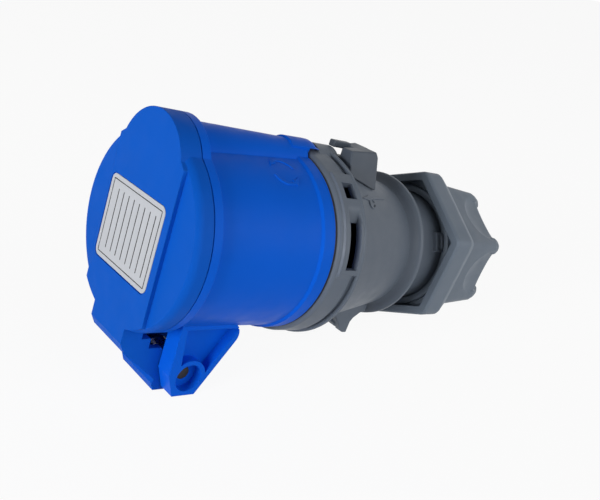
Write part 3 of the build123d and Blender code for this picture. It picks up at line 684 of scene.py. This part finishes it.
def hexagon(corner, rounding, fromCorner):
    # polar radius of a hexagon with rounded corners: an arc near the corner, the flat elsewhere
    away = np.abs(np.radians(fromCorner))
    centre = corner - rounding / math.cos(math.pi / 6)
    limit = np.arctan2(rounding / 2, centre + rounding * math.cos(math.pi / 6))
    within = np.clip(rounding**2 - (centre * np.sin(away)) ** 2, 0, None)
    arc = centre * np.cos(away) + np.sqrt(within)
    flat = corner * math.cos(math.pi / 6) / np.cos(math.pi / 6 - away)
    return np.where(away < limit, arc, flat)


def addGlandNut():
    # outside: the hexagon, less the scoops; inside: a six-sided pocket, then the round bores
    look = glandNut
    stations = sorted({*look["stations"], *look["boreStations"], look["pocketRear"]})
    station = rowsOf(np.array(stations), look["rowStep"])[:, None]
    angle = np.linspace(0, 360, look["columns"], endpoint=False)[None]
    fromCorner = (angle - look["cornerAngle"] + 30) % 60 - 30
    corner = np.interp(station, look["stations"], look["corners"])
    outer = hexagon(corner, look["cornerRounding"], fromCorner)
    # scoop: across the flat the wall lies below a shallow dish, deepest at the rear edge
    fromFlat = np.radians(30 - np.abs(fromCorner))
    sideways = outer * np.sin(fromFlat)
    height = outer * np.cos(fromFlat)
    reach = (station - look["scoopStation"]) / look["scoopLength"]
    reach = reach**2 + (sideways / look["scoopWidth"]) ** 2
    dish = height - look["scoopDepth"] * np.clip(1 - reach, 0, None) ** look["scoopPower"]
    outer = outer * np.where(station > look["scoopFront"], dish / height, 1)
    bore = np.interp(station, look["boreStations"], look["boreRadii"])
    wall = look["pocketWall"] / math.cos(math.pi / 6)
    pocket = hexagon(corner - wall, look["pocketRounding"], fromCorner)
    inner = np.where(station <= look["pocketRear"], pocket, bore)
    # the rear edge stands further out in the middle of each flat than at the corners
    share = np.clip((station - look["bulgeFront"]) / (look["stations"][-1] - look["bulgeFront"]), 0, 1)
    bulged = station + look["bulge"] * share**2 * (1 - (fromFlat / math.radians(30)) ** 2)
    keep = np.ones((len(station) - 1, look["columns"]), bool)
    shell = shellOf(onAxis(bulged, angle, outer), onAxis(station, angle, inner), keep)
    parts = [shell, ringOf(look["sleeve"], look["sleeveColumns"])]
    for claw in range(6):
        parts.append(solidOf(clawLoft(look["cornerAngle"] + 60 * claw)))
    nut = addPiece("gland_nut_shell", parts, "nut_body", "nut_grey")
    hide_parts("gland_nut")


def clawLoft(angle):
    # a tapering beak that carries a corner on: its top keeps the corner's slopes, its underside is an arc
    look = glandNut
    top, depth, half = (np.array(look[key])[:, None] for key in ("clawTops", "clawDepths", "clawHalfWidths"))
    over = np.radians(np.linspace(-90, 90, look["clawPoints"]))[None]
    under = np.radians(np.linspace(90, -90, look["clawPoints"])[1:-1])[None]
    sideways = half * np.concatenate((np.sin(over), np.sin(under)), axis=1)
    keel = look["clawKeel"]
    slope = top - (np.sqrt(sideways**2 + keel**2) - keel) * math.tan(math.pi / 6)
    belly = depth * np.concatenate((0 * over, np.cos(under) ** look["clawBelly"]), axis=1)
    radial = slope - belly
    turn = math.radians(angle)
    station = np.array(look["clawStations"])[:, None] + 0 * radial
    return np.stack(
        (
            station,
            -radial * math.cos(turn) + sideways * math.sin(turn),
            radial * math.sin(turn) + sideways * math.cos(turn),
        ),
        axis=-1,
    )


addGlandNut()
print("gland nut worked out")


# Rear housing: one wall turned round the axis, with the ring's raised plates, windows, channel and rim,
# the keyway's rib, the latch pad and the neck's thread as changes of its radius
rearHousing = {
    "stations": (
        48.4, 48.6, 49.3, 50.0, 50.02, 51.5, 51.52, 51.8, 52.58, 52.6, 55.2, 55.22, 56.4, 57.48, 57.5, 57.6,
        58.3, 58.4, 58.42, 59.2, 60.3, 60.32, 61.4, 72.6, 87.9, 88.4, 89.9, 90.2, 91.2, 91.3, 91.32, 103.8,
        103.82, 107.4, 107.42, 115.2, 115.8,
    ),
    "plainStations": ((59.3, 60.2), (72.7, 87.8)),  # a plain cone, where rows are thinned
    "thinning": 4,  # one row in so many is kept there
    "profile": (  # station, outer radius
        (48.4, 27.5), (48.6, 27.9), (49.3, 28.3), (55.2, 28.62), (55.22, 27.8), (57.48, 27.8), (57.5, 29.1),
        (57.6, 29.2), (58.3, 29.2), (58.4, 29.1), (58.42, 26.8), (87.9, 21.05), (88.4, 21.4), (89.9, 23.9),
        (90.2, 24.1), (91.2, 24.1), (91.3, 24.0), (91.32, 18.8), (115.2, 18.8), (115.8, 18.3),
    ),
    "inside": (  # station, inner radius
        (48.4, 25.8), (51.5, 25.8), (51.52, 26.9), (57.6, 26.9), (59.2, 24.4), (88.0, 18.6), (91.3, 15.4),
        (115.8, 15.4),
    ),
    "plate": (50.0, 57.5, 0.5, 61.0, 29.05),  # stations, angles, radius; again on the far side
    "windows": ((3.5, 31.0), (44.3, 54.5)),  # angles; again on the far side
    "windowStations": (51.8, 56.4),
    "rampEnd": 39.0,
    "rampFloor": 27.0,
    "ribTop": 30.1,
    "ribRadius": 6.1,
    "ribFront": 52.6,
    "ribRear": 60.3,
    "pad": (103.8, 107.4, 14.0, 34.0, 20.0),  # stations, angles, radius
    "padSink": 0.45,
    "padRim": (0.7, 3.0),  # along, and round in degrees
    "slot": (61.4, 72.6, -5.0, 1.0),  # under the lock slide: stations, and across the axis
    "slotRadius": 25.0,
    "slotAngles": (45, 135),
    "thread": (107.6, 115.2),
    "threadPitch": 2.0,
    "threadDepth": 0.55,
    "threadSteepness": 3.2,
    "threadCrest": 0.6,
    "columns": 240,
    "rowStep": 0.5,
}


def within(value, low, high):
    # true from low to high, both included
    return (value >= low) & (value <= high)


def ringAngles():
    # even angles, the nearest of them moved onto the edges of the windows, ramps and plates
    look = rearHousing
    near = np.array([*np.ravel(look["windows"]), look["rampEnd"], *look["plate"][2:4]])
    edges = np.sort(np.concatenate((near, near + 180)))
    angle = np.linspace(0, 360, look["columns"], endpoint=False)
    angle[np.abs(angle[:, None] - edges[None]).argmin(axis=0)] = edges
    return angle[None]


def ringStations():
    # the named stations with even rows between them, thinned where the wall is a plain cone
    look = rearHousing
    station = rowsOf(np.array(look["stations"]), look["rowStep"])
    plain = np.any([within(station, *span) for span in look["plainStations"]], axis=0)
    return station[~plain | (np.arange(len(station)) % look["thinning"] == 0)][:, None]


def ribRadius(station, angle):
    # a cylinder of its own along the top of the round wall, seen from the coupler's axis: 0 where it isn't
    look = rearHousing
    fromTop = np.radians(angle - 90)
    centre = look["ribTop"] - look["ribRadius"]
    chord = look["ribRadius"] ** 2 - (centre * np.sin(fromTop)) ** 2
    there = (chord > 0) & (np.cos(fromTop) > 0) & within(station, look["ribFront"], look["ribRear"])
    return np.where(there, centre * np.cos(fromTop) + np.sqrt(np.clip(chord, 0, None)), 0)


def rearOutside(station, angle):
    # the turned profile, raised by plates and rib, with a ramp behind each long window, a rimmed pad and
    # a thread: flat crests and straight flanks round a helix
    look = rearHousing
    outer = np.interp(station, *np.array(look["profile"]).T) + 0 * angle
    half = angle % 180
    front, rear, low, high, top = look["plate"]
    plate = within(station, front, rear) & within(half, low, high)
    outer = np.where(plate, np.maximum(outer, top), outer)
    rampStart = look["windows"][0][1]
    climb = (half - rampStart) / (look["rampEnd"] - rampStart)
    ramp = look["rampFloor"] + (top - look["rampFloor"]) * climb
    outer = np.where(within(station, *look["windowStations"]) & within(climb, 0, 1), ramp, outer)
    outer = np.maximum(outer, ribRadius(station, angle))
    front, rear, low, high, top = look["pad"]
    pad = within(station, front, rear) & within(angle, low, high)
    rim, side = look["padRim"]
    dip = within(station, front + rim, rear - rim) & within(angle, low + side, high - side)
    outer = np.where(pad, top - look["padSink"] * dip, outer)
    turns = (station / look["threadPitch"] - angle / 360) % 1
    flank = np.abs(turns - 0.5) * look["threadSteepness"] - look["threadCrest"]
    threaded = within(station, *look["thread"]) & ~pad
    return np.where(threaded, outer - look["threadDepth"] * np.clip(flank, 0, 1), outer)


def rearOpenings(station, angle):
    # the cells between rows and columns that are wall, and not a window or the lock slide's slot
    look = rearHousing
    middles = (station[:-1] + station[1:]) / 2
    steps = (angle + np.roll(angle, -1, axis=1)) / 2
    steps[0, -1] = (angle[0, -1] + 360) / 2
    keep = np.ones((len(station) - 1, angle.shape[1]), bool)
    for low, high in look["windows"]:
        keep &= ~(within(middles, *look["windowStations"]) & within(steps % 180, low, high))
    front, rear, near, far = look["slot"]
    across = -look["slotRadius"] * np.cos(np.radians(steps))
    slot = within(middles, front, rear) & within(across, near, far) & within(steps, *look["slotAngles"])
    return keep & ~slot


def addRearHousing():
    # a wall between the outside and the turned inside
    station, angle = ringStations(), ringAngles()
    inner = np.interp(station, *np.array(rearHousing["inside"]).T) + 0 * angle
    outside = onAxis(station, angle, rearOutside(station, angle))
    shell = shellOf(outside, onAxis(station, angle, inner), rearOpenings(station, angle))
    housing = addPiece("rear_housing_shell", [shell], "rear_body", "housing_grey")
    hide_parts("rear_housing")


# Pointer: the raised end of the front housing's rib, reaching over the ring without touching it
ribPointer = {
    "stations": (41.3, 41.7, 48.2, 48.5, 50.4, 51.2, 51.8, 52.1),
    "rise": (-0.05, 0.6, 0.7, 0.7, 0.65, 0.4, 0.0, -0.35),  # over the rib
    "low": (27.0, 27.0, 27.0, 29.4, 29.4, 29.4, 29.4, 29.4),
    "spread": 8.4,  # to each side, in degrees
    "thinnest": 0.1,
    "columns": 17,
    "rounding": 0.2,
}


def addRibPointer():
    # the rib's own cylinder with a larger radius, above a round underside
    look = ribPointer
    station, rise, low = (np.array(look[key])[:, None] for key in ("stations", "rise", "low"))
    away = np.linspace(-look["spread"], look["spread"], look["columns"])[None]
    centre = rearHousing["ribTop"] - rearHousing["ribRadius"]
    chord = (rearHousing["ribRadius"] + rise) ** 2 - (centre * np.sin(np.radians(away))) ** 2
    top = centre * np.cos(np.radians(away)) + np.sqrt(np.clip(chord, 0, None))
    top = np.maximum(top, low + look["thinnest"])
    over = onAxis(station, 90 + away, top)
    under = onAxis(station, 90 - away, low)
    loft = np.concatenate((over, under), axis=1)
    pointer = addSolids("rib_pointer", [loft], "coupler_body", "housing_blue")
    soften(pointer, look["rounding"])


# Hook fin below the cone: a thin blade with a lip, and a shorter heel on its far side
hookFin = {
    "near": -12.0,  # places across the axis
    "middle": -9.4,
    "far": -4.0,
    "overlap": 0.2,
    "blade": (  # station, depth below the axis
        (73.5, 18.0), (73.5, 21.2), (77.5, 25.2), (79.0, 27.4), (80.2, 28.0), (82.0, 28.1), (82.4, 24.2),
        (83.3, 22.8), (85.7, 21.0), (88.0, 20.4), (88.0, 17.0),
    ),
    "heel": ((77.0, 18.0), (77.0, 25.4), (78.5, 27.0), (83.8, 27.6), (85.7, 22.0), (85.7, 17.0)),
    "rounding": 0.35,
}
softEdge = {"from": 35, "segments": 3}  # degrees, and steps of the rounding


def slab(profile, near, far):
    # a flat slab across the axis, its outline given as stations and depths below the axis
    station, depth = np.array(profile).T
    return np.stack([np.stack((station, 0 * station + place, -depth), axis=1) for place in (near, far)])


def soften(piece, width):
    # round the sharp edges of a piece by a width in millimetres
    bevel = piece.modifiers.new("softEdges", "BEVEL")
    bevel.width = width * mm
    bevel.segments = softEdge["segments"]
    bevel.limit_method = "ANGLE"
    bevel.angle_limit = math.radians(softEdge["from"])


def addHookFin():
    # two slabs that overlap a little
    look = hookFin
    blade = slab(look["blade"], look["near"], look["middle"])
    heel = slab(look["heel"], look["middle"] - look["overlap"], look["far"])
    soften(addSolids("hook_fin", [blade, heel], "rear_body", "housing_grey"), look["rounding"])


addRearHousing()
addRibPointer()
addHookFin()
print("rear housing worked out")


# Lock slide: a grip whose near face leans out, a column behind it and a finger forward over the rib
lockSlide = {
    "gap": 0.3,  # over the cone
    "grip": {
        "stations": (61.0, 66.0, 71.6, 73.1),
        "tops": (31.2, 31.7, 32.2, 30.6),
        "near": -8.6,
        "far": -4.4,
        "lean": 18.4,  # degrees by which the near face leans out downwards
    },
    "column": {
        "stations": (67.0, 71.6, 77.2),
        "tops": (31.3, 32.2, 30.7),
        "near": -4.5,
        "far": 1.5,
        "lean": 0.0,
    },
    "finger": {"stations": (60.7, 61.3, 68.0), "low": 30.05, "high": 32.1, "near": -1.0, "far": 1.5},
    "tongue": {"stations": (62.0, 69.0), "low": 22.6, "high": 28.0, "near": -4.4, "far": 0.4},
    "arcPoints": 9,
    "rounding": 0.7,
}


def gripLoft(look):
    # sections that stand on the cone: a leaning near face, a top, an upright far face and the cone's arc.
    # The near face's foot is where its line meets the circle y^2 + z^2 = base^2
    tilt = math.tan(math.radians(look["lean"]))
    rows = []
    for station, top in zip(look["stations"], look["tops"]):
        base = coneRadius(station) + lockSlide["gap"]
        reach = look["near"] - top * tilt
        lower = np.roots((1 + tilt**2, 2 * tilt * reach, reach**2 - base**2)).real.max()
        foot = look["near"] - (top - lower) * tilt
        arc = np.linspace(math.asin(look["far"] / base), math.asin(foot / base), lockSlide["arcPoints"])
        under = np.stack((base * np.sin(arc), base * np.cos(arc)), axis=1)
        rows.append(np.concatenate((((look["near"], top), (look["far"], top)), under)))
    section = np.array(rows)
    station = np.array(look["stations"])[:, None, None] + 0 * section[:, :, :1]
    return np.concatenate((station, section), axis=2)


def boxLoft(look):
    # a plain box from station to station
    near, far, low, high = (look[key] for key in ("near", "far", "low", "high"))
    corners = np.array(((near, low), (near, high), (far, high), (far, low)))
    return np.stack([np.insert(corners, 0, station, axis=1) for station in look["stations"]])


def addLockSlide():
    # four closed solids that overlap, with their edges rounded
    look = lockSlide
    lofts = [gripLoft(look["grip"]), gripLoft(look["column"])]
    lofts += [boxLoft(look["finger"]), boxLoft(look["tongue"])]
    slide = addSolids("lock_slide_shell", lofts, "lock_body", "lock_grey")
    soften(slide, look["rounding"])
    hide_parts("lock_slide")


addLockSlide()
print("lock slide worked out")
